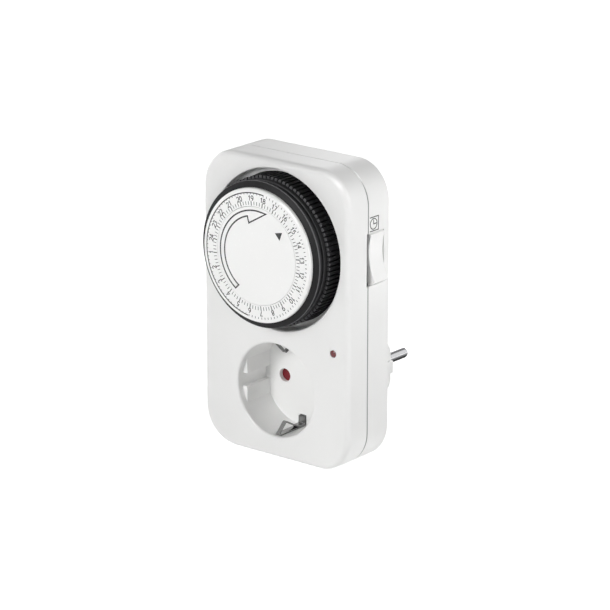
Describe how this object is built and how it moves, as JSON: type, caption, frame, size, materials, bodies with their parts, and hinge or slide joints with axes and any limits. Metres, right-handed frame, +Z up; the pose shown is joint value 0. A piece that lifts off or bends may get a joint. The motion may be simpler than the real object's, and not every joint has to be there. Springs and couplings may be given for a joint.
{
  "type": "plug-in timer switch",
  "caption": "Plug-in mechanical day timer: an earthed plug behind, a socket in front and a ribbed dial whose small push tabs set when the socket is on; side rocker for always on.",
  "frame": {"origin": "centre of the plug's end face, midway between the two pins", "axes": "+Y along the pins into the wall, +Z up, +X to the right seen from the front"},
  "size_m": [0.0776, 0.085, 0.1245],
  "materials": {
    "housing_plastic": "satin white moulding",
    "dial_white": "satin white with black print",
    "drum_black": "fine grained black moulding",
    "tab_black": "black moulding",
    "pin_plating": "bright nickel plating",
    "earth_metal": "rolled spring strip",
    "contact_brass": "drawn",
    "shutter_red": "red moulding",
    "lens_red": "clear tinted",
    "lamp_glass": "glass bulb",
    "mechanism_grey": "filled moulding",
    "gear_natural": "natural moulding",
    "motor_can": "drawn can",
    "switch_black": "moulding",
    "screw_steel": "zinc plated"
  },
  "bodies": {
    "housing": {"front_shell": "housing_plastic", "back_shell": "housing_plastic", "housing_screws": "screw_steel", "plug_base": "housing_plastic", "plug_body": "housing_plastic", "plug_pin_left": "pin_plating", "plug_pin_right": "pin_plating", "earth_band": "earth_metal", "earth_clip": "earth_metal", "contact_carrier": "mechanism_grey", "contact_sleeve_left": "contact_brass", "contact_sleeve_right": "contact_brass", "indicator_lens": "lens_red", "indicator_lamp": "lamp_glass", "mechanism_plate": "mechanism_grey", "plate_screws": "screw_steel", "motor": "motor_can", "motor_screws": "screw_steel", "snap_switch": "switch_black", "rocker_switch": "switch_black", "centre_disc": "dial_white"},
    "dial": {"dial_drum": "drum_black", "scale_ring": "dial_white"},
    "idler": {"idler_gear": "gear_natural"},
    "motor_shaft": {"motor_pinion": "gear_natural"},
    "follower": {"follower_lever": "gear_natural"},
    "switch_plunger": {"snap_button": "gear_natural"},
    "rocker": {"rocker_button": "housing_plastic"},
    "shutter_disc": {"shutter": "shutter_red"},
    "tabs_hour_00_slider": {"tabs_hour_00": "tab_black"},
    "tabs_hour_01_slider": {"tabs_hour_01": "tab_black"},
    "tabs_hour_02_slider": {"tabs_hour_02": "tab_black"},
    "tabs_hour_03_slider": {"tabs_hour_03": "tab_black"},
    "tabs_hour_04_slider": {"tabs_hour_04": "tab_black"},
    "tabs_hour_05_slider": {"tabs_hour_05": "tab_black"},
    "tabs_hour_06_slider": {"tabs_hour_06": "tab_black"},
    "tabs_hour_07_slider": {"tabs_hour_07": "tab_black"},
    "tabs_hour_08_slider": {"tabs_hour_08": "tab_black"},
    "tabs_hour_09_slider": {"tabs_hour_09": "tab_black"},
    "tabs_hour_10_slider": {"tabs_hour_10": "tab_black"},
    "tabs_hour_11_slider": {"tabs_hour_11": "tab_black"},
    "tabs_hour_12_slider": {"tabs_hour_12": "tab_black"},
    "tabs_hour_13_slider": {"tabs_hour_13": "tab_black"},
    "tabs_hour_14_slider": {"tabs_hour_14": "tab_black"},
    "tabs_hour_15_slider": {"tabs_hour_15": "tab_black"},
    "tabs_hour_16_slider": {"tabs_hour_16": "tab_black"},
    "tabs_hour_17_slider": {"tabs_hour_17": "tab_black"},
    "tabs_hour_18_slider": {"tabs_hour_18": "tab_black"},
    "tabs_hour_19_slider": {"tabs_hour_19": "tab_black"},
    "tabs_hour_20_slider": {"tabs_hour_20": "tab_black"},
    "tabs_hour_21_slider": {"tabs_hour_21": "tab_black"},
    "tabs_hour_22_slider": {"tabs_hour_22": "tab_black"},
    "tabs_hour_23_slider": {"tabs_hour_23": "tab_black"}
  },
  "joints": [
    {"name": "dial_turn", "type": "hinge", "parent": "housing", "child": "dial", "pos_m": [0, -0.0545, 0.059], "axis": [0, 1, 0], "continuous": true},
    {"name": "idler_turn", "type": "hinge", "parent": "housing", "child": "idler", "pos_m": [-0.01604, -0.0465, 0.04296], "axis": [0, 1, 0], "continuous": true},
    {"name": "motor_turn", "type": "hinge", "parent": "housing", "child": "motor_shaft", "pos_m": [-0.01091, -0.0415, 0.05706], "axis": [0, 1, 0], "continuous": true},
    {"name": "follower_pivot", "type": "hinge", "parent": "housing", "child": "follower", "pos_m": [0.018, -0.0406, 0.0294], "axis": [0, 0, -1], "range_deg": [0, 8.3]},
    {"name": "plunger_slide", "type": "slide", "parent": "housing", "child": "switch_plunger", "axis": [0, 1, 0], "range_m": [0, 0.00125]},
    {"name": "rocker_pivot", "type": "hinge", "parent": "housing", "child": "rocker", "pos_m": [0.0339, -0.0368, 0.0587], "axis": [0, 1, 0], "range_deg": [0, 12]},
    {"name": "shutter_turn", "type": "hinge", "parent": "housing", "child": "shutter_disc", "pos_m": [0, -0.0339, 0], "axis": [0, 1, 0], "range_deg": [0, 38], "stiffness_Nm_per_rad": 0.002},
    {"name": "tabs_hour_00_slide", "type": "slide", "parent": "dial", "child": "tabs_hour_00_slider", "axis": [0, 1, 0], "range_m": [0, 0.0025]},
    {"name": "tabs_hour_01_slide", "type": "slide", "parent": "dial", "child": "tabs_hour_01_slider", "axis": [0, 1, 0], "range_m": [0, 0.0025]},
    {"name": "tabs_hour_02_slide", "type": "slide", "parent": "dial", "child": "tabs_hour_02_slider", "axis": [0, 1, 0], "range_m": [0, 0.0025]},
    {"name": "tabs_hour_03_slide", "type": "slide", "parent": "dial", "child": "tabs_hour_03_slider", "axis": [0, 1, 0], "range_m": [0, 0.0025]},
    {"name": "tabs_hour_04_slide", "type": "slide", "parent": "dial", "child": "tabs_hour_04_slider", "axis": [0, 1, 0], "range_m": [0, 0.0025]},
    {"name": "tabs_hour_05_slide", "type": "slide", "parent": "dial", "child": "tabs_hour_05_slider", "axis": [0, 1, 0], "range_m": [0, 0.0025]},
    {"name": "tabs_hour_06_slide", "type": "slide", "parent": "dial", "child": "tabs_hour_06_slider", "axis": [0, 1, 0], "range_m": [0, 0.0025]},
    {"name": "tabs_hour_07_slide", "type": "slide", "parent": "dial", "child": "tabs_hour_07_slider", "axis": [0, 1, 0], "range_m": [0, 0.0025]},
    {"name": "tabs_hour_08_slide", "type": "slide", "parent": "dial", "child": "tabs_hour_08_slider", "axis": [0, 1, 0], "range_m": [0, 0.0025]},
    {"name": "tabs_hour_09_slide", "type": "slide", "parent": "dial", "child": "tabs_hour_09_slider", "axis": [0, 1, 0], "range_m": [0, 0.0025]},
    {"name": "tabs_hour_10_slide", "type": "slide", "parent": "dial", "child": "tabs_hour_10_slider", "axis": [0, 1, 0], "range_m": [0, 0.0025]},
    {"name": "tabs_hour_11_slide", "type": "slide", "parent": "dial", "child": "tabs_hour_11_slider", "axis": [0, 1, 0], "range_m": [0, 0.0025]},
    {"name": "tabs_hour_12_slide", "type": "slide", "parent": "dial", "child": "tabs_hour_12_slider", "axis": [0, 1, 0], "range_m": [0, 0.0025]},
    {"name": "tabs_hour_13_slide", "type": "slide", "parent": "dial", "child": "tabs_hour_13_slider", "axis": [0, 1, 0], "range_m": [0, 0.0025]},
    {"name": "tabs_hour_14_slide", "type": "slide", "parent": "dial", "child": "tabs_hour_14_slider", "axis": [0, 1, 0], "range_m": [0, 0.0025]},
    {"name": "tabs_hour_15_slide", "type": "slide", "parent": "dial", "child": "tabs_hour_15_slider", "axis": [0, 1, 0], "range_m": [0, 0.0025]},
    {"name": "tabs_hour_16_slide", "type": "slide", "parent": "dial", "child": "tabs_hour_16_slider", "axis": [0, 1, 0], "range_m": [0, 0.0025]},
    {"name": "tabs_hour_17_slide", "type": "slide", "parent": "dial", "child": "tabs_hour_17_slider", "axis": [0, 1, 0], "range_m": [0, 0.0025]},
    {"name": "tabs_hour_18_slide", "type": "slide", "parent": "dial", "child": "tabs_hour_18_slider", "axis": [0, 1, 0], "range_m": [0, 0.0025]},
    {"name": "tabs_hour_19_slide", "type": "slide", "parent": "dial", "child": "tabs_hour_19_slider", "axis": [0, 1, 0], "range_m": [0, 0.0025]},
    {"name": "tabs_hour_20_slide", "type": "slide", "parent": "dial", "child": "tabs_hour_20_slider", "axis": [0, 1, 0], "range_m": [0, 0.0025]},
    {"name": "tabs_hour_21_slide", "type": "slide", "parent": "dial", "child": "tabs_hour_21_slider", "axis": [0, 1, 0], "range_m": [0, 0.0025]},
    {"name": "tabs_hour_22_slide", "type": "slide", "parent": "dial", "child": "tabs_hour_22_slider", "axis": [0, 1, 0], "range_m": [0, 0.0025]},
    {"name": "tabs_hour_23_slide", "type": "slide", "parent": "dial", "child": "tabs_hour_23_slider", "axis": [0, 1, 0], "range_m": [0, 0.0025]}
  ],
  "couplings": [
    {"joint": "idler_turn", "follows": "dial_turn", "ratio": 8},
    {"joint": "motor_turn", "follows": "dial_turn", "ratio": -32},
    {"joint": "follower_pivot", "follows": "tabs_hour_06_slide", "rad_per_m": 57.94},
    {"joint": "plunger_slide", "follows": "tabs_hour_06_slide", "ratio": 0.5}
  ]
}
